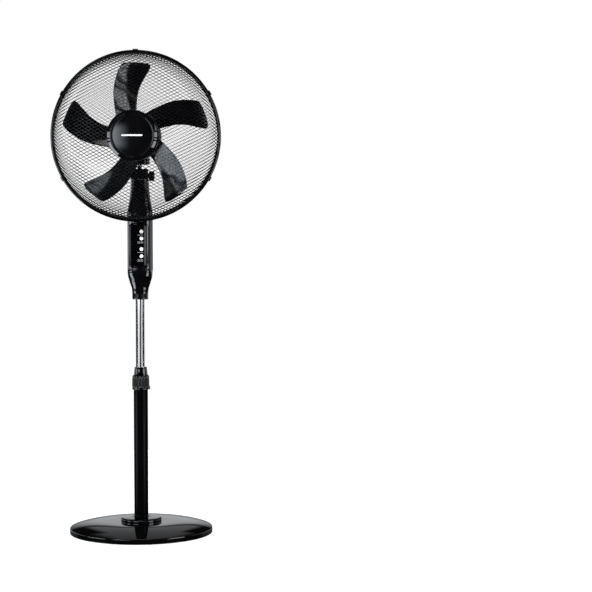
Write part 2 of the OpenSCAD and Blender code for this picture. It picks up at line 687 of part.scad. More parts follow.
// Clip seen outwards and forwards from the middle of the front rim: a jaw
// round the rim, and an arm that hooks behind the rear rim
module clip_body() difference() {
    union() {
        cylinder(r = 6.5, h = clip_w);
        translate([4.3, -13.8, 0]) cube([2.1, 12, clip_w]);
        translate([0.6, -13.8, 0]) cube([5, 1.7, clip_w]);
    }
    translate([0, 0, -1]) cylinder(r = 4.5, h = clip_w + 2);
    translate([0, 0, -1]) linear_extrude(clip_w + 2)
        polygon([[0, 0], [0.4, 8], [-8, 8], [-8, -8], [4.3, -8], [4.3, -4.8]]);
}

module guard_clip(index) color(gloss_black) fan_axis() rotate(90 - (index - 1) * clip_pitch)
    translate([rim_r, clip_w / 2, front_rim_f]) rotate([90, 0, 0]) clip_body();

// ------------------------------------------------------------ assembly

base_cover();
base_weight();
base_feet();
pole_flange();
tube_foot_plug();
base_bolt();
base_washer();
outer_tube();
collar_body();
clamp_collet();
height_lock_nut();
inner_tube();
tube_end_bush();
housing_front();
housing_rear();
panel_window();
control_board();
tact_switches();
ir_receiver();
housing_screws();
cord_grommet();
tube_clamp_screw();
neck_fork();
tilt_nut();
push_button(button_heights[0]);  // power_button
push_button(button_heights[1]);  // speed_button
push_button(button_heights[2]);  // swing_button
push_button(button_heights[3]);  // timer_button
tilt_bolt();
tilt_knob();
tilt_bracket();
swing_spindle();
sector_gear();
swing_motor();
swing_bush();
motor_front_bracket();
motor_rear_bracket();
stator_core();
stator_coils();
motor_bearings();
run_capacitor();
motor_cover();
rear_guard_mesh();
rear_guard_rim();
guard_nut();
front_guard_mesh();
front_guard_rim();
front_badge();
swing_pinion();
rotor_core();
motor_shaft();
fan_blade();
spinner_nut();
shaft_pin();
guard_clip(1);  // guard_clip_1
guard_clip(2);  // guard_clip_2
guard_clip(3);  // guard_clip_3
guard_clip(4);  // guard_clip_4
guard_clip(5);  // guard_clip_5
guard_clip(6);  // guard_clip_6
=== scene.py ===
"""Pedestal fan: the looks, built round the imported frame. +Z is up and -Y is the front.

Shapes are written in millimetres and turned into metres where each mesh is made.
"""

import json
import math

import bmesh
import bpy
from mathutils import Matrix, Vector


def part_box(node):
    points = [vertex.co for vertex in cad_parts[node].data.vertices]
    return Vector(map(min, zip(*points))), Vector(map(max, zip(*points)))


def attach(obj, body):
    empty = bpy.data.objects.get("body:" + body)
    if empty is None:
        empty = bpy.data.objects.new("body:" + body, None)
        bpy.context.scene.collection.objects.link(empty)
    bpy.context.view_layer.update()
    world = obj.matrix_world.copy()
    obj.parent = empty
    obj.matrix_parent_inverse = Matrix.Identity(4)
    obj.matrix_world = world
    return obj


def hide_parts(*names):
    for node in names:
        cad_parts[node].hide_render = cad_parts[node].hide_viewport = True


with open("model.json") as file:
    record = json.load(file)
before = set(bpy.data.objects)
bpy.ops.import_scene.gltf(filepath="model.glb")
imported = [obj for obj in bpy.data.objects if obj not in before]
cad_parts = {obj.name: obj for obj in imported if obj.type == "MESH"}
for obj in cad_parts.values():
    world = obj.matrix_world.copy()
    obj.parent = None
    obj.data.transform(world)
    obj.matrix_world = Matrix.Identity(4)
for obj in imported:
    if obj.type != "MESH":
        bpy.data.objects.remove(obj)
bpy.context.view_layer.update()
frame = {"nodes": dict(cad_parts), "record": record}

MM = 0.001
TINY = 1e-6
SHARP = math.radians(32)
SHARP_TURNED = math.radians(38)


def node_box(node):
    """Lowest and highest corner of a CAD node, in millimetres."""
    low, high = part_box(node)
    return low / MM, high / MM


def smoothstep(low, high, value):
    """Smooth rise from 0 at low to 1 at high."""
    t = min(1.0, max(0.0, (value - low) / (high - low)))
    return t * t * (3 - 2 * t)


def mix(a, b, t):
    """The value a share t of the way from a to b."""
    return a + (b - a) * t


def curve_through(knots, x):
    """Value at x of a smooth curve through (x, value) knots that never overshoots them."""
    if x <= knots[0][0]:
        return knots[0][1]
    if x >= knots[-1][0]:
        return knots[-1][1]
    slopes = [(b[1] - a[1]) / (b[0] - a[0]) for a, b in zip(knots, knots[1:])]

    def tangent(k):
        if k == 0 or k == len(knots) - 1:
            return slopes[0 if k == 0 else -1]
        before, after = slopes[k - 1], slopes[k]
        return 0.0 if before * after <= 0 else 2 * before * after / (before + after)

    k = next(i for i in range(len(knots) - 1) if x <= knots[i + 1][0])
    width = knots[k + 1][0] - knots[k][0]
    t = (x - knots[k][0]) / width
    start = (1 + 2 * t) * (1 - t) ** 2 * knots[k][1] + t * (1 - t) ** 2 * width * tangent(k)
    end = t * t * (3 - 2 * t) * knots[k + 1][1] + t * t * (t - 1) * width * tangent(k + 1)
    return start + end


# ------------------------------------------------------------- materials

PLASTIC_IOR = 1.5


def new_material(name, base, roughness, metallic=0.0, specular=0.5):
    """A material with one Principled shader whose uniform values sit on its own sockets."""
    material = bpy.data.materials.new(name)
    material.use_nodes = True
    shader = material.node_tree.nodes["Principled BSDF"]
    shader.inputs["Base Color"].default_value = (*base, 1)
    shader.inputs["Roughness"].default_value = roughness
    shader.inputs["Metallic"].default_value = metallic
    shader.inputs["IOR"].default_value = PLASTIC_IOR
    shader.inputs["Specular IOR Level"].default_value = specular
    return material


def noise(material, size, detail=2.0, stretch=(1, 1, 1)):
    """Noise with features about size millimetres across, longer along an axis by stretch."""
    nodes, links = material.node_tree.nodes, material.node_tree.links
    coordinates = nodes.new("ShaderNodeTexCoord")
    mapping = nodes.new("ShaderNodeMapping")
    mapping.inputs["Scale"].default_value = [1 / s for s in stretch]
    texture = nodes.new("ShaderNodeTexNoise")
    texture.inputs["Scale"].default_value = 1 / (size * MM)
    texture.inputs["Detail"].default_value = detail
    links.new(coordinates.outputs["Object"], mapping.inputs["Vector"])
    links.new(mapping.outputs["Vector"], texture.inputs["Vector"])
    return texture.outputs["Fac"]


def shade(colour, factor):
    return [channel * factor for channel in colour]


def vary_colour(material, pattern, dark, light, low=0.35, high=0.65):
    """Lets the colour drift from dark to light with a pattern."""
    nodes, links = material.node_tree.nodes, material.node_tree.links
    ramp = nodes.new("ShaderNodeValToRGB")
    ramp.color_ramp.elements[0].position = low
    ramp.color_ramp.elements[0].color = (*dark, 1)
    ramp.color_ramp.elements[1].position = high
    ramp.color_ramp.elements[1].color = (*light, 1)
    links.new(pattern, ramp.inputs["Fac"])
    links.new(ramp.outputs["Color"], nodes["Principled BSDF"].inputs["Base Color"])


def vary_roughness(material, pattern, low, high):
    """Lets the roughness drift from low to high with a pattern."""
    nodes, links = material.node_tree.nodes, material.node_tree.links
    spread = nodes.new("ShaderNodeMapRange")
    spread.inputs["From Min"].default_value = 0.3
    spread.inputs["From Max"].default_value = 0.7
    spread.inputs["To Min"].default_value = low
    spread.inputs["To Max"].default_value = high
    links.new(pattern, spread.inputs["Value"])
    links.new(spread.outputs["Result"], nodes["Principled BSDF"].inputs["Roughness"])


def add_bump(material, *layers):
    """Bump made of (pattern, height in millimetres) layers."""
    nodes, links = material.node_tree.nodes, material.node_tree.links
    normal = None
    for pattern, height in layers:
        bump = nodes.new("ShaderNodeBump")
        bump.inputs["Distance"].default_value = height * MM
        links.new(pattern, bump.inputs["Height"])
        if normal is not None:
            links.new(normal, bump.inputs["Normal"])
        normal = bump.outputs["Normal"]
    links.new(normal, nodes["Principled BSDF"].inputs["Normal"])


def moulded_gloss(name, base, roughness, wave, peel, specular=0.5):
    """Glossy moulded plastic: slow waviness from cooling, fine orange peel and faint handling haze."""
    material = new_material(name, base, roughness, specular=specular)
    haze = noise(material, 38, 5)
    waviness = noise(material, 46, 1)
    orange_peel = noise(material, 1.5, 2)
    vary_colour(material, haze, shade(base, 0.75), shade(base, 1.35))
    vary_roughness(material, haze, roughness * 0.7, roughness * 1.5)
    add_bump(material, (waviness, wave), (orange_peel, peel))
    return material


def grained_plastic(name, base, roughness, grain=0.03):
    """Satin plastic with a fine spark-eroded grain."""
    material = new_material(name, base, roughness)
    cloud = noise(material, 20, 4)
    vary_colour(material, cloud, shade(base, 0.8), shade(base, 1.25))
    vary_roughness(material, cloud, roughness * 0.85, roughness * 1.15)
    add_bump(material, (noise(material, 0.45, 3), grain))
    return material


def worked_metal(name, base, roughness, stretch=(1, 1, 1), grain=0.006):
    """Metal with drawing or machining marks that run along the stretched axis."""
    material = new_material(name, base, roughness, metallic=1.0)
    marks = noise(material, 0.6, 4, stretch)
    vary_colour(material, noise(material, 30, 3), shade(base, 0.92), base)
    vary_roughness(material, marks, roughness * 0.75, roughness * 1.4)
    add_bump(material, (marks, grain))
    return material


def cast_surface(name, base, roughness):
    """Painted casting with the sand's roughness."""
    material = new_material(name, base, roughness)
    vary_colour(material, noise(material, 7, 6), shade(base, 0.7), shade(base, 1.3))
    add_bump(material, (noise(material, 1.6, 5), 0.35))
    return material


def winding_surface(name, base):
    """Enamelled wire laid in rings about the shaft."""
    material = new_material(name, base, 0.3, metallic=0.8)
    wires = noise(material, 0.9, 1, (1, 12, 1))
    vary_colour(material, wires, shade(base, 0.5), base)
    add_bump(material, (wires, 0.3))
    return material


def board_surface(name, base):
    """Circuit board with faint upright tracks."""
    material = new_material(name, base, 0.4)
    tracks = noise(material, 2.2, 0, (1, 1, 5))
    vary_colour(material, tracks, shade(base, 0.7), shade(base, 1.5), 0.48, 0.52)
    add_bump(material, (tracks, 0.04))
    return material


MATERIALS = {}
for slot_name, make, *look in (
    ("gloss_black_plastic", moulded_gloss, (0.0025, 0.0025, 0.0028), 0.07, 0.1, 0.006),
    ("blade_black", moulded_gloss, (0.0022, 0.0022, 0.0025), 0.08, 0.12, 0.008),
    ("window_black", moulded_gloss, (0.0012, 0.0012, 0.0014), 0.03, 0.02, 0.002),
    ("satin_black_plastic", grained_plastic, (0.0035, 0.0035, 0.004), 0.24),
    ("guard_lattice", grained_plastic, (0.005, 0.005, 0.006), 0.3, 0.005),
    ("rubber_feet", grained_plastic, (0.02, 0.02, 0.02), 0.75, 0.08),
    ("black_tube", moulded_gloss, (0.002, 0.002, 0.0023), 0.08, 0.04, 0.006, 0.03),
    ("chrome_tube", worked_metal, (0.86, 0.87, 0.88), 0.05, (1, 1, 40), 0.0015),
    ("white_button", grained_plastic, (0.86, 0.86, 0.85), 0.28, 0.006),
    ("steel", worked_metal, (0.6, 0.61, 0.63), 0.3, (8, 1, 1)),
    ("cast_iron", cast_surface, (0.06, 0.06, 0.065), 0.6),
    ("die_cast", worked_metal, (0.68, 0.69, 0.7), 0.42, (2, 2, 2), 0.03),
    ("nylon", grained_plastic, (0.75, 0.72, 0.65), 0.42, 0.02),
    ("copper_winding", winding_surface, (0.62, 0.28, 0.12)),
    ("circuit_board", board_surface, (0.02, 0.13, 0.05)),
):
    MATERIALS[slot_name] = make(slot_name, *look)
POLISHED = moulded_gloss("polished_black", (0.0025, 0.0025, 0.0028), 0.035, 0.04, 0.003)
RIBBED = moulded_gloss("ribbed_black", (0.002, 0.002, 0.0023), 0.07, 0.02, 0.004)
PRINT_GREY = grained_plastic("print_grey", (0.3, 0.3, 0.31), 0.5, 0.004)
PRINT_SILVER = grained_plastic("print_silver", (0.8, 0.81, 0.82), 0.3, 0.004)
# Dark grey for the band on the window: a painted reflection of a softbox, not print
PAINTED_REFLECTION_BAND = grained_plastic("painted_reflection_band", (0.045, 0.045, 0.048), 0.32, 0.002)

for subpart in frame["record"]["subparts"]:
    node = frame["nodes"][subpart["node"]]
    node.data.materials.clear()
    node.data.materials.append(MATERIALS[subpart["material_slot"]])


# ---------------------------------------------------------- mesh helpers

WELD = 0.004 * MM


def add_object(name, data):
    """A new object in the scene."""
    made = bpy.data.objects.new(name, data)
    bpy.context.scene.collection.objects.link(made)
    return made


def raw_mesh(name, verts, faces):
    """A mesh from points in millimetres."""
    mesh = bpy.data.meshes.new(name)
    mesh.from_pydata([(x * MM, y * MM, z * MM) for x, y, z in verts], [], faces)
    return mesh


def piece(name, body, slot, verts, faces, replaces=(), material=None, sharp=SHARP):
    """A closed mesh from points in millimetres, riding on a body."""
    mesh = raw_mesh(name, verts, faces)
    work = bmesh.new()
    work.from_mesh(mesh)
    bmesh.ops.remove_doubles(work, verts=work.verts, dist=WELD)
    bmesh.ops.dissolve_degenerate(work, edges=work.edges, dist=WELD / 2)
    bmesh.ops.recalc_face_normals(work, faces=work.faces)
    work.to_mesh(mesh)
    work.free()
    mesh.shade_smooth()
    mesh.set_sharp_from_angle(angle=sharp)
    mesh.materials.append(material or MATERIALS[slot])
    made = add_object(name, mesh)
    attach(made, body)
    if replaces:
        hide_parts(*replaces)
    return made


def join_parts(*parts):
    """Several (verts, faces) as one."""
    verts, faces = [], []
    for part_verts, part_faces in parts:
        start = len(verts)
        verts.extend(part_verts)
        faces.extend([start + i for i in face] for face in part_faces)
    return verts, faces


def fillet(points, steps=5):
    """Rounds the corners of a closed outline of (a, b, radius) points."""
    just_under_half = 0.49
    outline = []
    for k, (a, b, radius) in enumerate(points):
        here = Vector((a, b))
        before = Vector(points[k - 1][:2]) - here
        after = Vector(points[(k + 1) % len(points)][:2]) - here
        if radius <= 0 or before.length < TINY or after.length < TINY:
            outline.append((a, b))
            continue
        half = before.angle(after) / 2
        longest = just_under_half * min(before.length, after.length)
        reach = min(radius / math.tan(half), longest)
        radius = reach * math.tan(half)
        inwards = (before.normalized() + after.normalized()).normalized()
        middle = here + inwards * (radius / math.sin(half))
        first = here + before.normalized() * reach - middle
        last = here + after.normalized() * reach - middle
        turn = first.angle_signed(last)
        for i in range(steps + 1):
            angle = -turn * i / steps
            outline.append((
                middle.x + first.x * math.cos(angle) - first.y * math.sin(angle),
                middle.y + first.x * math.sin(angle) + first.y * math.cos(angle),
            ))
    return outline


def lathe(outline, steps, place, swell=None):
    """Solid of revolution of a closed (radius, height) outline; swell returns each point's radius."""
    verts, faces = [], []
    count = len(outline)
    for i in range(steps):
        angle = 2 * math.pi * i / steps
        for radius, height in outline:
            r = radius if swell is None else swell(radius, height, angle)
            verts.append(place(r * math.cos(angle), r * math.sin(angle), height))
    on_centre = [radius < TINY for radius, _ in outline]
    for i in range(steps):
        here, beyond = i * count, (i + 1) % steps * count
        for k in range(count):
            j = (k + 1) % count
            if on_centre[k] and on_centre[j]:
                continue
            if on_centre[k]:
                faces.append([here + k, beyond + j, here + j])
            elif on_centre[j]:
                faces.append([here + k, beyond + k, here + j])
            else:
                faces.append([here + k, beyond + k, beyond + j, here + j])
    return verts, faces


def sweep_loops(loops, closed=True, capped=False):
    """Skin over loops of equally many points; closed joins the last loop to the first."""
    count = len(loops[0])
    verts = [p for loop in loops for p in loop]
    faces = []
    for k in range(len(loops) if closed else len(loops) - 1):
        a, b = k * count, (k + 1) % len(loops) * count
        faces.extend([a + i, a + (i + 1) % count, b + (i + 1) % count, b + i] for i in range(count))
    if capped:
        faces.append(list(range(count)))
        faces.append([len(verts) - count + i for i in range(count)])
    return verts, faces


def rounded_loop(half_w, half_h, radius, steps=8):
    """Rounded rectangle as a closed loop of (x, z)."""
    loop = []
    for corner, (sx, sz) in enumerate([(1, 1), (-1, 1), (-1, -1), (1, -1)]):
        for i in range(steps + 1):
            angle = math.radians(corner * 90 + 90 * i / steps)
            loop.append((
                sx * (half_w - radius) + radius * math.cos(angle),
                sz * (half_h - radius) + radius * math.sin(angle),
            ))
    return loop


def upright_solid(half_w, half_h, radius, profile, x0, z0, closed, steps=8):
    """Rounded rectangle facing the front; profile lists (inset, y) for each loop."""
    least_corner = 0.25
    loops = []
    for inset, y in profile:
        corner = max(radius - inset, least_corner)
        loop = rounded_loop(half_w - inset, half_h - inset, corner, steps)
        loops.append([(x0 + x, y, z0 + z) for x, z in loop])
    return sweep_loops(loops, closed, not closed)


def cut_away(target, cutters):
    """Takes closed (verts, faces) shapes away from a piece, as a true boolean."""
    before = target.data
    mesh = raw_mesh("cutter", *join_parts(*cutters))
    work = bmesh.new()
    work.from_mesh(mesh)
    bmesh.ops.recalc_face_normals(work, faces=work.faces)
    work.to_mesh(mesh)
    work.free()
    cutter = add_object("cutter", mesh)
    modifier = target.modifiers.new("cut", "BOOLEAN")
    modifier.operation = "DIFFERENCE"
    modifier.solver = "EXACT"
    modifier.object = cutter
    bpy.context.view_layer.update()
    evaluated = target.evaluated_get(bpy.context.evaluated_depsgraph_get())
    result = bpy.data.meshes.new_from_object(evaluated)
    target.modifiers.clear()
    target.data = result
    result.shade_smooth()
    result.set_sharp_from_angle(angle=SHARP)
    bpy.data.objects.remove(cutter)
    bpy.data.meshes.remove(before)


def soften(node, width):
    """Rounds the hard edges of a CAD node with a bevel modifier."""
    bevel = frame["nodes"][node].modifiers.new("soft_edges", "BEVEL")
    bevel.width = width * MM
    bevel.segments = 2
    bevel.limit_method = "ANGLE"
    bevel.angle_limit = math.radians(40)
    bevel.harden_normals = False


def box_shape(low, high):
    """Box between two corners."""
    x0, y0, z0 = low
    x1, y1, z1 = high
    loops = [[(x0, y0, z), (x1, y0, z), (x1, y1, z), (x0, y1, z)] for z in (z0, z1)]
    return sweep_loops(loops, closed=False, capped=True)


def level_rod(radius, y0, y1, x, z, steps=32):
    """Rod that runs from front to back."""
    ring = [2 * math.pi * i / steps for i in range(steps)]
    loops = [[(x + radius * math.cos(a), y, z + radius * math.sin(a)) for a in ring] for y in (y0, y1)]
    return sweep_loops(loops, closed=False, capped=True)


def upright(x, y, height):
    """Place of a turned point on a vertical axis through the origin."""
    return (x, y, height)


# ------------------------------------------------------------------ base

def make_base():
    """Domed base shell, and the flange that takes the lower tube."""
    low, high = node_box("base_cover")
    radius, top, bottom = high.x, high.z, low.z
    shoulder, flat, wall, bore = 17.0, 50.0, 2.2, 6
    edge = radius - 3
    crown_edge = edge + 0.5
    inner_edge_gap = 2.3
    steps = 44

    def crown(r):
        fall = max(0.0, r - flat) / (crown_edge - flat)
        return shoulder + (top - shoulder) * (1 - fall ** 3)

    radii = [flat + (edge - flat) * i / steps for i in range(steps + 1)]
    outer = [(r, crown(r)) for r in radii]
    inner = [(r - inner_edge_gap * k / steps, h - wall) for k, (r, h) in enumerate(outer)]
    # Rolled edge, upright skirt and the way back up inside
    skirt = [
        (radius - 1.5, shoulder - 0.3), (radius - 0.6, shoulder - 0.8), (radius - 0.2, shoulder - 1.6),
        (radius - 0.06, shoulder - 2.3), (radius, shoulder - 3.0), (radius, shoulder - 3.4),
        (radius, bottom + 1.2), (radius, bottom + 0.4), (radius - 0.3, bottom), (radius - wall, bottom),
        (radius - wall - 1.2, shoulder - 4),
    ]
    outline = [(bore, top)] + outer + skirt + inner[::-1] + [(bore, top - wall)]
    piece("base_shell", "base", "gloss_black_plastic", *lathe(outline, 192, upright),
          replaces=["base_cover"], material=POLISHED, sharp=SHARP_TURNED)

    low, high = node_box("pole_flange")
    tube_r = node_box("outer_tube")[1].x
    r, top, bottom = high.x, high.z, low.z
    # (radius, height, corner radius), from the bore outwards and back over the top
    flange = fillet([
        (tube_r + 0.1, bottom, 0), (tube_r + 3, bottom, 0), (tube_r + 3, top - 4, 0.5),
        (r - 2.7, top - 5.5, 0.5), (r - 2.7, bottom, 0), (r, bottom, 0.2), (r, top - 3.2, 1.2),
        (r - 3, top - 0.6, 2.2), (tube_r + 6, top, 1.2), (tube_r + 4.6, top - 0.8, 0.4),
        (tube_r + 0.6, top - 0.8, 0.4), (tube_r + 0.1, top - 1.4, 0),
    ])
    piece("tube_flange", "base", "gloss_black_plastic", *lathe(flange, 128, upright),
          replaces=["pole_flange"], sharp=math.radians(45))
    soften("base_feet", 1.0)


# ---------------------------------------------------------------- column

def make_lock_nut():
    """Ribbed grip with a cone above it; the ribs fade out at both ends of the grip."""
    low, high = node_box("height_lock_nut")
    ribs, rib_height, groove_depth, plain_r = 20, 1.2, 0.4, 20.5
    bottom, top = low.z, high.z
    grip_top = bottom + 33.6
    outline = fillet([
        (20.3, bottom, 0.2), (21.6, bottom, 0.4), (21.6, bottom + 1.6, 0.5), (21.9, bottom + 2.4, 0),
        (21.2, grip_top - 1.6, 0.8), (20.6, grip_top, 0.8), (18.7, grip_top + 0.3, 0.4),
        (17.6, grip_top + 8, 0), (16.5, top - 2, 0), (15.9, top, 0.7), (12.8, top, 0.4),
        (12.8, top - 4, 0), (14.7, top - 4, 0), (14.7, bottom + 32.1, 0), (20.3, bottom + 32.1, 0),
    ], 3)
    longest = 3
    tall = []
    for (r0, h0), (r1, h1) in zip(outline, outline[1:] + outline[:1]):
        parts = max(1, int(abs(h1 - h0) / longest))
        tall.extend((mix(r0, r1, i / parts), mix(h0, h1, i / parts)) for i in range(parts))

    def ribbed(radius, height, angle):
        if radius < plain_r:
            return radius
        fade = smoothstep(bottom + 0.8, bottom + 2.6, height)
        fade *= 1 - smoothstep(grip_top - 2.6, grip_top, height)
        wave = math.cos(ribs * angle)
        crest = rib_height * max(0.0, wave) ** 0.6 - groove_depth * max(0.0, -wave)
        return radius + crest * fade

    piece("lock_nut_grip", "lock_nut", "satin_black_plastic", *lathe(tall, ribs * 12, upright, ribbed),
          replaces=["height_lock_nut"], material=RIBBED, sharp=math.radians(50))
    soften("collar_body", 0.5)


# --------------------------------------------------------------- housing

# Sections of the housing: height above its foot, width and depth
HOUSING = [
    (0, 42, 42), (16, 42.5, 42.5), (31, 45.6, 44.4), (33.5, 47.4, 45.4), (48, 57, 53), (64, 64.5, 60),
    (80, 66, 62), (226, 66, 62), (242, 62, 56), (261, 56, 48), (292, 49, 41), (312, 46.5, 38),
]
WALL = 2.2
SEAM = 0.5


def housing_point(height, turn, inset):
    """Point of the housing's skin, squarer in its middle; turn runs round from +X towards +Y."""
    round_power, square_power = 2.2, 2.8
    half_w = curve_through([(s[0], s[1] / 2) for s in HOUSING], height) - inset
    half_d = curve_through([(s[0], s[2] / 2) for s in HOUSING], height) - inset
    middle = smoothstep(46, 74, height) * (1 - smoothstep(228, 252, height))
    root = 2 / mix(round_power, square_power, middle)
    c, s = math.cos(turn), math.sin(turn)
    return half_w * math.copysign(abs(c) ** root, c), half_d * math.copysign(abs(s) ** root, s)


def housing_half(side, z0, start, end):
    """One closed half shell; side is -1 for the front and 1 for the rear."""
    columns, rows = 56, 100
    thin, lip = 0.12, 0.8
    step_heights = [30.6, 31.4, 32.2, 33, 34, 35]
    heights = sorted(set([start + (end - start) * i / rows for i in range(rows + 1)] + step_heights))
    loops = []
    for height in heights:
        outer, inner = [], []
        for i in range(columns + 1):
            turn = side * math.pi * i / columns
            at_seam = i in (0, columns)
            x, y = housing_point(height, turn, SEAM if at_seam else 0)
            outer.append((x, side * max(abs(y), thin if at_seam else lip), z0 + height))
            x, y = housing_point(height, turn, WALL)
            inner.append((x, side * max(abs(y), thin), z0 + height))
        loops.append(outer + inner[::-1])
    return sweep_loops(loops, closed=False, capped=False), len(loops[0]), len(loops)


def close_ends(shape, count, rings):
    """Closes the two ends of a half shell with strips between its outer and inner edge."""
    verts, faces = shape
    half = count // 2
    for base in (0, (rings - 1) * count):
        last = base + count - 1
        faces.extend([base + i, base + i + 1, last - 1 - i, last - i] for i in range(half - 1))
    return verts, faces


def make_housing():
    """Two shells, the bezel round the window, screw bosses and the socket for the tube."""
    low, high = node_box("housing_front")
    z0, top = low.z, high.z - low.z
    skirt = 3.6
    halves = {}
    for name, side, node in (("housing_face", -1, "housing_front"), ("housing_back", 1, "housing_rear")):
        shape, count, rings = housing_half(side, z0, skirt, top)
        halves[side] = piece(name, "column", "gloss_black_plastic", *close_ends(shape, count, rings),
                             replaces=[node])

    window_low, window_high = node_box("panel_window")
    mid_z = (window_low.z + window_high.z) / 2
    half_w = (window_high.x - window_low.x) / 2
    half_h = (window_high.z - window_low.z) / 2
    face_y = low.y

    # The front shell is open behind the window, and vents climb both cheeks below it
    clear, opening_corner, ledge_w, ledge_h = 60, 5, 4.5, 5.5
    cutters = [upright_solid(half_w - ledge_w, half_h - ledge_h, opening_corner,
                             [(0, -clear), (0, -4)], 0, mid_z, False)]
    vent_rows, vent_half_w, vent_half_h = 6, 1.15, 1.3
    first_x, first_z, step_x, step_z = 28, z0 + 66.2, 3, 3.7
    for side in (-1, 1):
        for i in range(vent_rows):
            x, z = side * (first_x - step_x * i), first_z - step_z * i
            low_corner = (x - vent_half_w, -clear, z - vent_half_h)
            high_corner = (x + vent_half_w, -8, z + vent_half_h)
            cutters.append(box_shape(low_corner, high_corner))
    cut_away(halves[-1], cutters)

    # Holes in the rear shell for the grommet, the clamp screw and the two housing screws
    screw_z = [z0 + 56, z0 + 246]
    grommet_hole = level_rod(7.5, 10, clear, 0, z0 + 85)
    clamp_screw_hole = level_rod(3.4, 10, clear, 0, z0 + 20)
    screw_holes = [level_rod(3.5, 14, clear, 0, z) for z in screw_z]
    cut_away(halves[1], [grommet_hole, clamp_screw_hole] + screw_holes)

    # Bezel with a wide outer chamfer and a narrow one towards the window, as (inset, y)
    behind, seat = -18, -30.2
    bezel_half_w, bezel_half_h, bezel_corner = half_w + 4.5, half_h + 4.7, 12
    bezel = [
        (0.2, behind), (0, -29.6), (0.15, -30.3), (0.6, -30.9), (3.0, face_y + 0.25),
        (3.25, face_y + 0.02), (3.45, face_y), (4.25, face_y + 0.72), (4.35, face_y + 0.95),
        (4.35, seat), (10.6, seat), (10.6, behind),
    ]
    piece("panel_bezel", "column", "gloss_black_plastic",
          *upright_solid(bezel_half_w, bezel_half_h, bezel_corner, bezel, 0, mid_z, True, 12))
    boss_r, boss_front, boss_back = 6.4, -4, 17.8
    for k, z in enumerate(screw_z):
        piece(f"screw_boss_rear_{k + 1}", "column", "gloss_black_plastic",
              *level_rod(boss_r, boss_front, boss_back, 0, z))

    # Turned socket that grips the chromed tube, with a scalloped lower edge
    bore = node_box("inner_tube")[1].x + 0.15
    shoulder_z, socket_top, neck_r = z0 + skirt + 0.6, z0 + 36, 18.6
    socket = fillet([
        (bore, z0, 0.3), (20.6, z0, 0.7), (21.0, z0 + 1.2, 0), (21.0, shoulder_z, 0.2),
        (neck_r, shoulder_z, 0), (neck_r, socket_top, 0), (bore, socket_top, 0),
    ], 4)

    def scalloped(radius, height, angle):
        scallops, depth, plain_r = 30, 0.45, 19
        if radius < plain_r or height > z0 + skirt:
            return radius
        return radius - depth * (0.5 + 0.5 * math.cos(scallops * angle))

    piece("tube_socket", "column", "gloss_black_plastic", *lathe(socket, 240, upright, scalloped))
    make_panel(face_y, mid_z, half_w, half_h)


BUTTONS = ["power_button", "speed_button", "swing_button", "timer_button"]
LABEL_ROWS = {"power_button": 1, "speed_button": 2, "swing_button": 1, "timer_button": 3}


def make_panel(face_y, mid_z, half_w, half_h):
    """Window, a dark grey band laid on it as a painted reflection, push buttons and their plain label bars.
    """
    front = face_y + 0.8
    corner = 7.8
    centres = {name: (node_box(name)[0] + node_box(name)[1]) / 2 for name in BUTTONS}
    edge = [(0, front + 2), (0, front + 0.45), (0.14, front + 0.12), (0.5, front)]
    window = piece("panel_glass", "column", "window_black",
                   *upright_solid(half_w, half_h, corner, edge, 0, mid_z, False, 12),
                   replaces=["panel_window"])

    def button_holes(radius):
        return [level_rod(radius, front - 3, front + 5, c.x, c.z) for c in centres.values()]

    button_r = 4.9
    cut_away(window, button_holes(button_r + 0.35))
    window.modifiers.new("flat_face", "WEIGHTED_NORMAL").keep_sharp = True

    # Dark grey band down the right of the window: a painted reflection of a softbox, lighter than the black
    # window
    band_left = centres["power_button"].x + 7.0
    margin_w, margin_h, band_corner = 1.6, 2.2, 6.4
    rim = rounded_loop(half_w - margin_w, half_h - margin_h, band_corner, 10)
    outline = [(max(x, band_left), z) for x, z in rim]
    loops = [[(x, y, mid_z + z) for x, z in outline] for y in (front - 0.03, front + 0.2)]
    band = piece("panel_reflection_band", "column", "window_black", *sweep_loops(loops, False, True),
                 material=PAINTED_REFLECTION_BAND)
    cut_away(band, button_holes(button_r + 2.2))

    dish_r, dish_depth, flange_r, stem_r = 3.6, 0.28, 6.3, 2
    bar_half_h, bar_corner, first_row, row_pitch = 0.62, 0.6, -9.1, -2.5
    bar_skin = [(0, front + 0.1), (0, front - 0.05)]
    bar_spans = [(-10.6, 7.4), (-2.2, 6.2)]
    for name in BUTTONS:
        c = centres[name]
        back = node_box(name)[1].y
        rise = -(face_y + 0.1)
        cap = [(r, rise - dish_depth * (1 - (r / dish_r) ** 2)) for r in (0, 1.2, 2.4, dish_r)]
        cap += [(4.3, -(face_y + 0.12)), (4.7, -(face_y + 0.3)), (button_r, -(face_y + 0.7))]
        cap += [(button_r, -(front + 2.3)), (flange_r, -(front + 2.3))]
        cap += [(flange_r, -(front + 3.5)), (stem_r, -(front + 3.5)), (stem_r, -back), (0, -back)]

        def button_place(x, y, height, c=c):
            return (c.x + x, -height, c.z + y)

        piece(name + "_cap", name, "white_button", *lathe(cap, 48, button_place), replaces=[name])
        bars = []
        for row in range(LABEL_ROWS[name]):
            z = c.z + first_row + row_pitch * row
            for start, width in bar_spans:
                x = c.x + start + width / 2
                bars.append(upright_solid(width / 2, bar_half_h, bar_corner, bar_skin, x, z, False, 4))
        piece(name + "_label", "column", "window_black", *join_parts(*bars), material=PRINT_GREY)


# ------------------------------------------------------------------ head

axis_z = sum(c.z for c in node_box("front_guard_rim")) / 2


def on_axis(x, y, forward):
    """Place of a turned point on the blade axis; forward is towards the front."""
    return (x, -forward, axis_z + y)


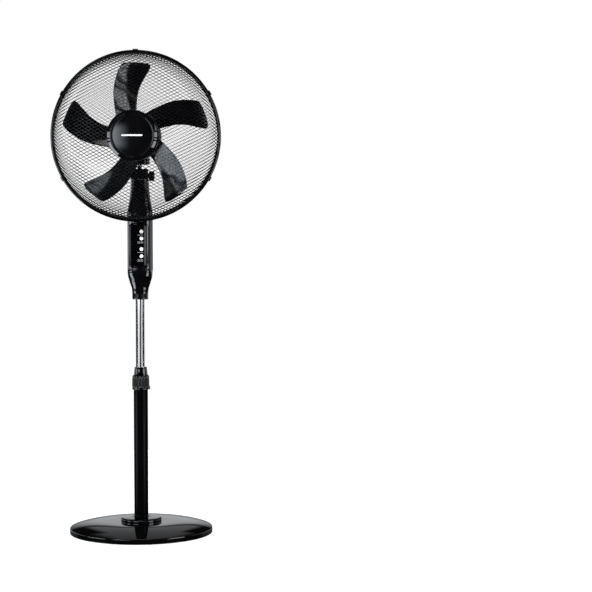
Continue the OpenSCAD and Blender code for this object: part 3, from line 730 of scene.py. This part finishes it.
def make_motor_cover():
    """Turned casing with radial slots in its back, and the chin below it."""
    low, high = node_box("motor_cover")
    radius, front, rear = high.x, -low.y, -high.y
    wall, knee = 2.2, -20.0
    steps, square = 26, 2 / 3

    def profile(inset):
        points = []
        for i in range(steps + 1):
            a = math.radians(90 * i / steps)
            points.append((
                (radius - 1 - inset) * max(0.0, math.cos(a)) ** square,
                knee + (rear - knee + inset) * math.sin(a) ** square,
            ))
        return points

    outline = [(radius - wall, front), (radius - 0.5, front), (radius, front - 0.6), (radius, front - 5),
               (radius - 0.6, front - 5.4), (radius - 0.6, front - 6)]
    outline += profile(0) + profile(wall)[::-1] + [(radius - wall - 1, front - 6)]
    cover = piece("motor_casing", "head", "gloss_black_plastic", *lathe(outline, 128, on_axis),
                  replaces=["motor_cover"])
    slots = []
    slot_count, slot_middle, slot_half_l, slot_half_w, slot_corner = 16, 24, 10, 1.5, 1.4
    slot = [(slot_middle + x, y) for x, y in rounded_loop(slot_half_l, slot_half_w, slot_corner, 4)]
    for i in range(slot_count):
        a = 2 * math.pi * i / slot_count
        c, s = math.cos(a), math.sin(a)
        turned = [(x * c - y * s, x * s + y * c) for x, y in slot]
        loops = [[on_axis(x, y, forward) for x, y in turned] for forward in (rear - 8, rear + 32)]
        slots.append(sweep_loops(loops, False, True))
    cut_away(cover, slots)

    # Chin round the swing drive
    bottom, height, middle_y = low.z, 34, 17
    half_w, half_d, corner, most_inset = 22.5, 32, 16, 9
    skin, mouth = WALL + 0.2, 13.5
    loops = []
    for inset, z in [(skin, height), (skin, WALL), (mouth, WALL), (mouth, 0), (1.2, 0), (0.35, 0.35),
                     (0, 1.2), (0, height)]:
        loop = rounded_loop(half_w - inset, half_d - inset, corner - min(inset, most_inset), 10)
        loops.append([(x, middle_y + y, bottom + z) for x, y in loop])
    piece("motor_chin", "head", "gloss_black_plastic", *sweep_loops(loops))


# Edges of one blade as (radius, angle in degrees)
TRAILING = [(60, 65), (95, 51.5), (129, 43), (158, 35.8), (182, 29.8), (188, 28), (189.4, 27), (190, 25.5)]
LEADING = [(60, 17.5), (95, 16.5), (129, 13), (158, 8.5), (182, 6), (188, 7), (190, 10)]


def blade_shape(turn, hub_r, tip_r, middle):
    """One blade: a cambered, twisted sheet that thins towards its rounded edges."""
    across, along = 24, 22
    root_span, span_loss, camber = 36, 6, 14
    half_thick, tip_thinning, thinnest = 1.2, 0.35, 0.12
    root, shoulder = hub_r - 2.5, 182
    radii = [root + (shoulder - root) * i / along for i in range(along + 1)]
    radii += [184, 186, 187.6, 188.8, 189.6, tip_r]
    loops = []
    for r in radii:
        lead, trail = curve_through(LEADING, r), curve_through(TRAILING, r)
        span = root_span - span_loss * (r - hub_r) / (tip_r - hub_r)
        thinned = half_thick * (1 - tip_thinning * smoothstep(150, tip_r, r))
        rounded_tip = math.sqrt(max(0.02, 1 - smoothstep(187.5, 190.2, r)))
        front, back = [], []
        for i in range(across + 1):
            u = 0.5 - 0.5 * math.cos(math.pi * i / across)
            a = math.radians(turn + mix(lead, trail, u))
            forward = middle + (u - 0.5) * span - camber * u * (1 - u)
            rounded_edge = math.sqrt(max(0.0, 1 - (2 * u - 1) ** 6))
            half = max(thinned * rounded_edge * rounded_tip, thinnest)
            x, y = r * math.cos(a), r * math.sin(a)
            front.append(on_axis(x, y, forward + half))
            back.append(on_axis(x, y, forward - half))
        loops.append(front + back[::-1])
    return sweep_loops(loops, closed=False, capped=True)


def make_rotor():
    """Hub with its hollow back, and five blades."""
    hub_r, tip_r, blade_middle, count = 64.0, 190, 84, 5
    back = -node_box("fan_blade")[1].y
    front = back + 48
    # (radius, forward, corner radius), from the middle of the face round to the bore for the shaft
    hub = fillet([
        (0, front, 0), (hub_r - 9, front, 2), (hub_r - 8, front - 0.7, 0.5), (hub_r, front - 0.7, 3.4),
        (hub_r, back, 0.6), (hub_r - 2.5, back, 0.6), (hub_r - 2.5, front - 3.2, 2), (11, front - 3, 2),
        (11, back, 0.8), (4.05, back, 0.3), (4.05, front - 3, 0), (0, front - 3, 0),
    ], 6)
    parts = [lathe(hub, 144, on_axis)]
    parts += [blade_shape(i * 360 / count, hub_r, tip_r, blade_middle) for i in range(count)]
    piece("rotor_blades", "rotor", "blade_black", *join_parts(*parts), replaces=["fan_blade"],
          sharp=math.radians(40))


# ----------------------------------------------------------------- guard

# Two families of strands: their directions in degrees, spacing and half width
STRAND_ANGLES = (-33, 25)
STRAND_PITCH = 7.9
STRAND_HALF = 0.43


def dome(edge_r, rim_y, depth, bulge, inner_r):
    """The guard's dome; returns place(distance along its skin, angle, inward) and its two limits."""
    steps, power = 600, 4
    table = [(0.0, 0.0)]
    previous = (0.0, depth)
    for k in range(1, steps + 1):
        r = edge_r * math.sin(math.pi / 2 * k / steps)
        height = depth * math.sqrt(max(0.0, 1 - (r / edge_r) ** power))
        table.append((table[-1][0] + math.hypot(r - previous[0], height - previous[1]), r))
        previous = (r, height)

    def radius_at(distance):
        low, high = 0, steps
        while high - low > 1:
            middle = (low + high) // 2
            if table[middle][0] <= distance:
                low = middle
            else:
                high = middle
        span = table[high][0] - table[low][0]
        return mix(table[low][1], table[high][1], min(1.0, (distance - table[low][0]) / span))

    def place(distance, angle, inward):
        r = radius_at(distance)
        flat = max(TINY, 1 - (r / edge_r) ** power)
        slope = power / 2 * depth / edge_r * (r / edge_r) ** (power - 1) / math.sqrt(flat)
        scale = 1 / math.hypot(slope, 1)
        radial = r - slope * scale * inward
        forward = -rim_y + bulge * (depth * math.sqrt(flat) - scale * inward)
        return on_axis(radial * math.cos(angle), radial * math.sin(angle), forward)

    inner = next(s for s, r in table if r >= inner_r)
    short_of_rim = 0.9985
    return place, inner, table[-1][0] * short_of_rim


def inset_polygon(points, inset):
    """Corners of a convex polygon moved inwards, or None where it is too small."""
    count = len(points)
    shortest, sharpest, least_left = 0.7, 0.15, 0.12
    moved = []
    for k in range(count):
        before = points[k] - points[k - 1]
        after = points[(k + 1) % count] - points[k]
        if before.length < shortest or after.length < shortest:
            return None
        n0 = Vector((-before.y, before.x)).normalized()
        n1 = Vector((-after.y, after.x)).normalized()
        moved.append(points[k] + (n0 + n1) * inset / max(sharpest, 1 + n0.dot(n1)))
    for k in range(count):
        edge = points[(k + 1) % count] - points[k]
        if (moved[(k + 1) % count] - moved[k]).dot(edge) < least_left * edge.length_squared:
            return None
    return moved


def lattice(place, inner, outer, thick):
    """Closed rhombic lattice on a dome, with rounded strands."""
    angles = [math.radians(a) for a in STRAND_ANGLES]
    side = STRAND_PITCH / math.sin(angles[1] - angles[0])
    steps = [Vector((math.cos(a), math.sin(a))) * side for a in angles]
    reach = int(outer / STRAND_PITCH) + 3
    edge_half = 0.6 * STRAND_HALF
    levels = [(edge_half, 0), (STRAND_HALF, 0.5 * thick), (edge_half, thick)]
    knots, verts, faces = {}, [], []

    def knot(i, j):
        if (i, j) not in knots:
            flat = steps[0] * (i + 0.5) + steps[1] * (j + 0.5)
            distance = flat.length
            inside = inner < distance < outer
            flat = flat * (min(outer, max(inner, distance)) / max(distance, TINY))
            knots[i, j] = (flat, inside, len(verts))
            verts.append(put(flat, 0))
            verts.append(put(flat, thick))
        return knots[i, j]

    def put(flat, inward):
        return place(flat.length, math.atan2(flat.y, flat.x), inward)

    used = {}
    for i in range(-reach, reach + 1):
        for j in range(-reach, reach + 1):
            corners = [(i, j), (i + 1, j), (i + 1, j + 1), (i, j + 1)]
            if (steps[0] * (i + 1) + steps[1] * (j + 1)).length > outer + side:
                continue
            cell = [knot(*c) for c in corners]
            if not any(c[1] for c in cell):
                continue
            ids = [c[2] for c in cell]
            flats = [c[0] for c in cell]
            for k in range(4):
                edge = (ids[k], ids[(k + 1) % 4])
                used[edge] = used.get(edge, 0) + 1
            rings = [inset_polygon(flats, width) for width, _ in levels]
            if None in rings:
                faces.append(ids)
                faces.append([v + 1 for v in ids[::-1]])
                continue
            first = len(verts)
            for ring, (_, inward) in zip(rings, levels):
                verts.extend(put(p, inward) for p in ring)
            for k in range(4):
                n = (k + 1) % 4
                faces.append([ids[k], ids[n], first + n, first + k])
                for level in (first, first + 4):
                    faces.append([level + k, level + n, level + 4 + n, level + 4 + k])
                faces.append([first + 8 + k, first + 8 + n, ids[n] + 1, ids[k] + 1])
    for a, b in used:
        if (b, a) not in used:
            faces.append([a, b, b + 1, a + 1])
    return verts, faces


def make_guard():
    """Front and rear lattice, each with the plate ring in its middle."""
    thick, into_rim = 1.8, 0.6
    for label, bulge, inner_r, bore_r in (("front", 1, 62, 50), ("rear", -1, 60, 22.5)):
        low, high = node_box(f"{label}_guard_mesh")
        rim_low, rim_high = node_box(f"{label}_guard_rim")
        rim_y = (rim_low.y + rim_high.y) / 2
        tube_r = (rim_high.y - rim_low.y) / 2
        edge_r = rim_high.x - 2 * tube_r
        depth = rim_y - low.y if bulge > 0 else high.y - rim_y
        place, inner, outer = dome(edge_r + into_rim, rim_y, depth, bulge, inner_r)
        parts = [lattice(place, inner, outer, thick)]
        crown = -rim_y + bulge * depth
        plate_r, plate_back = inner_r + 1.6, -thick - 0.2
        plate = [(bore_r, 0, 0.4), (plate_r, 0, 0.5), (plate_r, plate_back, 0.5), (bore_r, plate_back, 0.4)]
        if label == "rear":
            plate[1:1] = [(34, 0, 0.6), (35, -0.5, 0.4), (48, -0.5, 0.4), (49, 0, 0.6)]
        ring = fillet([(r, crown + bulge * h, radius) for r, h, radius in plate], 4)
        parts.append(lathe(ring, 120, on_axis))
        piece(f"{label}_lattice", "head", "guard_lattice", *join_parts(*parts),
              replaces=[f"{label}_guard_mesh"], sharp=math.radians(60))
    for index in range(6):
        soften(f"guard_clip_{index + 1}", 0.5)


def make_badge():
    """Round cap with a groove near its edge and a plain bar across it."""
    low, high = node_box("front_badge")
    front, radius = -low.y, high.x
    back = front - 13.5
    # (radius, forward, corner radius), from the back round the flange to the groove
    outline = fillet([
        (46.4, back, 0.3), (48.6, back, 0.3), (48.6, front - 8.3, 0.3), (radius, front - 8.3, 0.4),
        (radius, front - 6.7, 0.8), (64.0, front - 5.5, 1.2), (57.6, front - 1.5, 1.6),
        (56.4, front - 1.3, 0.4), (56.0, front - 2.1, 0.25), (55.0, front - 2.1, 0.25),
        (54.6, front - 1.0, 0.5),
    ], 5)
    sag, dome_r = 1.6, 54.0

    def skin(r):
        return front - sag * (r / dome_r) ** 2

    outline += [(r, skin(r)) for r in (53.4, 48, 42, 36, 30, 24, 18, 12, 6, 2, 0)]
    outline += [(0, front - 2.6), (46.4, front - 3.2)]
    piece("badge_cap", "head", "gloss_black_plastic", *lathe(outline, 160, on_axis),
          replaces=["front_badge"], material=POLISHED, sharp=SHARP_TURNED)

    # Plain pill shaped bar in place of lettering, bent along the dome
    half_length, half_height, steps = 27.0, 2.1, 40
    loops = []
    for k in range(steps + 1):
        x = -half_length * math.cos(math.pi * k / steps)
        beyond = max(0.0, abs(x) - (half_length - half_height))
        z = math.sqrt(max(0.02, half_height * half_height - beyond * beyond))
        section = ((-z, -0.6), (-z, 0.15), (-z * 0.85, 0.32), (z * 0.85, 0.32), (z, 0.15), (z, -0.6))
        loops.append([on_axis(x, up, skin(x) + lift) for up, lift in section])
    piece("badge_bar", "head", "gloss_black_plastic", *sweep_loops(loops, False, True),
          material=PRINT_SILVER)


# -------------------------------------------------------- stage and camera

def math_node(tree, operation, first, second=None):
    """Output of a math node whose inputs are sockets or plain numbers."""
    node = tree.nodes.new("ShaderNodeMath")
    node.operation = operation
    for socket, value in zip(node.inputs, (first, second)):
        if value is None:
            continue
        if isinstance(value, (int, float)):
            socket.default_value = value
        else:
            tree.links.new(value, socket)
    return node.outputs["Value"]


def mask_window(tree, value, low, high, soft):
    """1 where value lies between low and high, with soft edges."""
    slopes = []
    for start, end in ((low - soft, low + soft), (high + soft, high - soft)):
        slope = tree.nodes.new("ShaderNodeMapRange")
        slope.interpolation_type = "SMOOTHSTEP"
        slope.inputs["From Min"].default_value = start
        slope.inputs["From Max"].default_value = end
        tree.links.new(value, slope.inputs["Value"])
        slopes.append(slope.outputs["Result"])
    return math_node(tree, "MULTIPLY", *slopes)


DEGREES = 180 / math.pi
WHITE = (1.0, 1.0, 1.0)
DAYLIGHT = (0.96, 0.98, 1.0)
COOL = (0.94, 0.97, 1.0)
COOLER = (0.9, 0.95, 1.0)
BLUISH = (0.85, 0.92, 1.0)
SKY = (0.82, 0.9, 1.0)

# Softboxes round the studio, in degrees: where the azimuth is counted from (the front towards +X,
# the front on both sides, or the back), its range, the range of elevation, the softness of both
# ranges, then colour and strength
SOFTBOXES = [
    ("backdrop", "sides", (120, 200), (-14, 13.5), 10, 2.5, COOL, 0.1),
    ("backdrop_core", "back", (0.5, 12.5), (4, 14), 4, 3, COOL, 0.48),
    ("backdrop_low", "back", (-2, 15), (-14, 13.5), 6, 0.5, COOL, 0.26),
    ("overhead", "back", (-0.5, 13.5), (16.2, 30), 1.5, 0.4, DAYLIGHT, 0.3),
    ("overhead_top", "back", (-4, 17), (30, 64), 3, 0.4, DAYLIGHT, 0.3),
    ("left_backdrop", "front", (-150, -94), (-2.9, 9), 8, 0.3, COOLER, 1.6),
    ("right_backdrop", "front", (94, 150), (-2.9, 9), 8, 0.3, COOL, 0.8),
    ("left_wall", "front", (-88, -51.5), (-42, -12.4), 2.5, 0.3, SKY, 8.0),
    ("left_middle", "front", (-88, -53), (-9.1, -6.2), 2.5, 0.3, SKY, 8.0),
    ("left_shoulder", "front", (-88, -53), (-2.9, 0), 2.5, 0.3, SKY, 7.0),
    ("left_ring", "front", (-78, -60), (0, 8), 2.5, 1, BLUISH, 6.0),
    ("left_high", "front", (-41, -26.5), (25, 46), 2.5, 3, BLUISH, 4.0),
    ("round_key", "front", (-38.5, -12.4), (-2.6, 5), 4.6, 1.6, BLUISH, 7.0),
    ("right_top", "front", (57, 80), (12.5, 30), 1.5, 0.5, DAYLIGHT, 6.0),
    ("right_wall", "front", (51.5, 80), (-2.9, 8.5), 2, 0.3, DAYLIGHT, 6.0),
    ("right_middle", "front", (48.5, 80), (-9.1, -6.2), 1.5, 0.3, DAYLIGHT, 6.0),
    ("right_low", "front", (47, 80), (-28, -12.4), 1.5, 0.3, DAYLIGHT, 6.0),
    ("crown", "sides", (-1, 60), (74, 91), 8, 3, WHITE, 5.0),
    ("low_left", "front", (-58, -17), (-5.8, -3.0), 1, 0.2, WHITE, 1.0),
    ("low_middle", "front", (5, 27), (-5.8, -3.0), 3, 0.2, WHITE, 0.16),
    ("low_right", "front", (27, 54), (-5.8, -3.0), 2, 0.2, WHITE, 0.8),
    ("low_edge", "front", (112, 184), (-5.8, -3.0), 2, 0.2, WHITE, 0.8),
]
ROOM = (0.004, 0.004, 0.0045)
PAPER = (0.9, 0.9, 0.9)
DIM_PAPER = (0.1, 0.1, 0.105)


def make_world():
    """A dark room with softboxes for the fan to mirror, seen as white paper by the camera."""
    world = bpy.data.worlds.new("studio")
    bpy.context.scene.world = world
    world.use_nodes = True
    tree = world.node_tree
    tree.nodes.clear()
    coordinates = tree.nodes.new("ShaderNodeTexCoord")
    split = tree.nodes.new("ShaderNodeSeparateXYZ")
    tree.links.new(coordinates.outputs["Generated"], split.inputs["Vector"])
    forward = math_node(tree, "MULTIPLY", split.outputs["Y"], -1.0)
    leftward = math_node(tree, "MULTIPLY", split.outputs["X"], -1.0)
    from_front = math_node(tree, "ARCTAN2", split.outputs["X"], forward)
    from_back = math_node(tree, "ARCTAN2", leftward, split.outputs["Y"])
    azimuth = math_node(tree, "MULTIPLY", from_front, DEGREES)
    around = {
        "front": azimuth,
        "sides": math_node(tree, "ABSOLUTE", azimuth),
        "back": math_node(tree, "MULTIPLY", from_back, DEGREES),
    }
    rise_angle = math_node(tree, "ARCSINE", split.outputs["Z"])
    elevation = math_node(tree, "MULTIPLY", rise_angle, DEGREES)
    total = None
    for _, turn, across, up, soft_across, soft_up, colour, strength in SOFTBOXES:
        side = mask_window(tree, around[turn], *across, soft_across)
        rise = mask_window(tree, elevation, *up, soft_up)
        light = math_node(tree, "MULTIPLY", side, rise)
        scaled = tree.nodes.new("ShaderNodeVectorMath")
        scaled.operation = "SCALE"
        scaled.inputs["Vector"].default_value = shade(colour, strength)
        tree.links.new(light, scaled.inputs["Scale"])
        added = tree.nodes.new("ShaderNodeVectorMath")
        added.operation = "ADD"
        added.inputs[0].default_value = ROOM
        if total is not None:
            tree.links.new(total, added.inputs[0])
        tree.links.new(scaled.outputs["Vector"], added.inputs[1])
        total = added.outputs["Vector"]
    studio = tree.nodes.new("ShaderNodeBackground")
    tree.links.new(total, studio.inputs["Color"])
    paper = tree.nodes.new("ShaderNodeBackground")
    paper.inputs["Color"].default_value = (*WHITE, 1)
    path = tree.nodes.new("ShaderNodeLightPath")
    chosen = tree.nodes.new("ShaderNodeMixShader")
    output = tree.nodes.new("ShaderNodeOutputWorld")
    tree.links.new(path.outputs["Is Camera Ray"], chosen.inputs["Fac"])
    tree.links.new(studio.outputs["Background"], chosen.inputs[1])
    tree.links.new(paper.outputs["Background"], chosen.inputs[2])
    tree.links.new(chosen.outputs["Shader"], output.inputs["Surface"])


def make_floor():
    """Pale paper floor that glows to the camera and is dim to everything else."""
    radius, corners = 1.6, 96
    turns = [2 * math.pi * i / corners for i in range(corners)]
    rim = [(radius * math.cos(a), radius * math.sin(a), 0) for a in turns]
    mesh = bpy.data.meshes.new("floor")
    mesh.from_pydata(rim, [], [list(range(corners))])
    material = bpy.data.materials.new("paper_floor")
    material.use_nodes = True
    tree = material.node_tree
    tree.nodes.clear()
    paper = tree.nodes.new("ShaderNodeBsdfDiffuse")
    paper.inputs["Color"].default_value = (*PAPER, 1)
    glow = tree.nodes.new("ShaderNodeEmission")
    glow.inputs["Color"].default_value = (*WHITE, 1)
    glow.inputs["Strength"].default_value = 0.9
    dim = tree.nodes.new("ShaderNodeBsdfDiffuse")
    dim.inputs["Color"].default_value = (*DIM_PAPER, 1)
    seen = tree.nodes.new("ShaderNodeAddShader")
    path = tree.nodes.new("ShaderNodeLightPath")
    chosen = tree.nodes.new("ShaderNodeMixShader")
    output = tree.nodes.new("ShaderNodeOutputMaterial")
    tree.links.new(paper.outputs["BSDF"], seen.inputs[0])
    tree.links.new(glow.outputs["Emission"], seen.inputs[1])
    tree.links.new(path.outputs["Is Camera Ray"], chosen.inputs["Fac"])
    tree.links.new(dim.outputs["BSDF"], chosen.inputs[1])
    tree.links.new(seen.outputs["Shader"], chosen.inputs[2])
    tree.links.new(chosen.outputs["Shader"], output.inputs["Surface"])
    mesh.materials.append(material)
    floor = add_object("floor", mesh)
    floor.visible_glossy = False


def make_fill():
    """A broad soft light from the front that does not mirror in the glossy black."""
    fill = add_object("front_fill", bpy.data.lights.new("front_fill", "AREA"))
    fill.data.shape = "DISK"
    fill.data.size = 1.6
    fill.data.energy = 60
    fill.location = (-0.9, -2.6, 1.5)
    fan_middle = Vector((0, 0, 0.75))
    aim = fan_middle - fill.location
    fill.rotation_euler = aim.to_track_quat("-Z", "Y").to_euler()
    fill.visible_glossy = False
    fill.visible_camera = False


def make_camera():
    """A long lens a little to the right of the fan, at the height of its controls."""
    azimuth, distance, height = math.radians(7.2), 4.96, 0.913
    yaw, pitch = math.radians(4.763), math.radians(3.262)
    camera = add_object("camera", bpy.data.cameras.new("camera"))
    camera.data.sensor_width = 36
    camera.data.lens = 113.78
    camera.location = (distance * math.sin(azimuth), -distance * math.cos(azimuth), height)
    camera.rotation_euler = (math.pi / 2 - pitch, 0, azimuth - yaw)
    bpy.context.scene.camera = camera


# --------------------------------------------------------------- assembly

make_base()
make_lock_nut()
make_housing()
make_motor_cover()
make_rotor()
make_guard()
make_badge()
for exact in ("neck_fork", "tilt_knob", "tilt_bracket", "motor_front_bracket", "guard_nut",
              "cord_grommet"):
    soften(exact, 0.6)
make_world()
make_floor()
make_fill()
make_camera()
bpy.context.scene.view_settings.view_transform = "Standard"
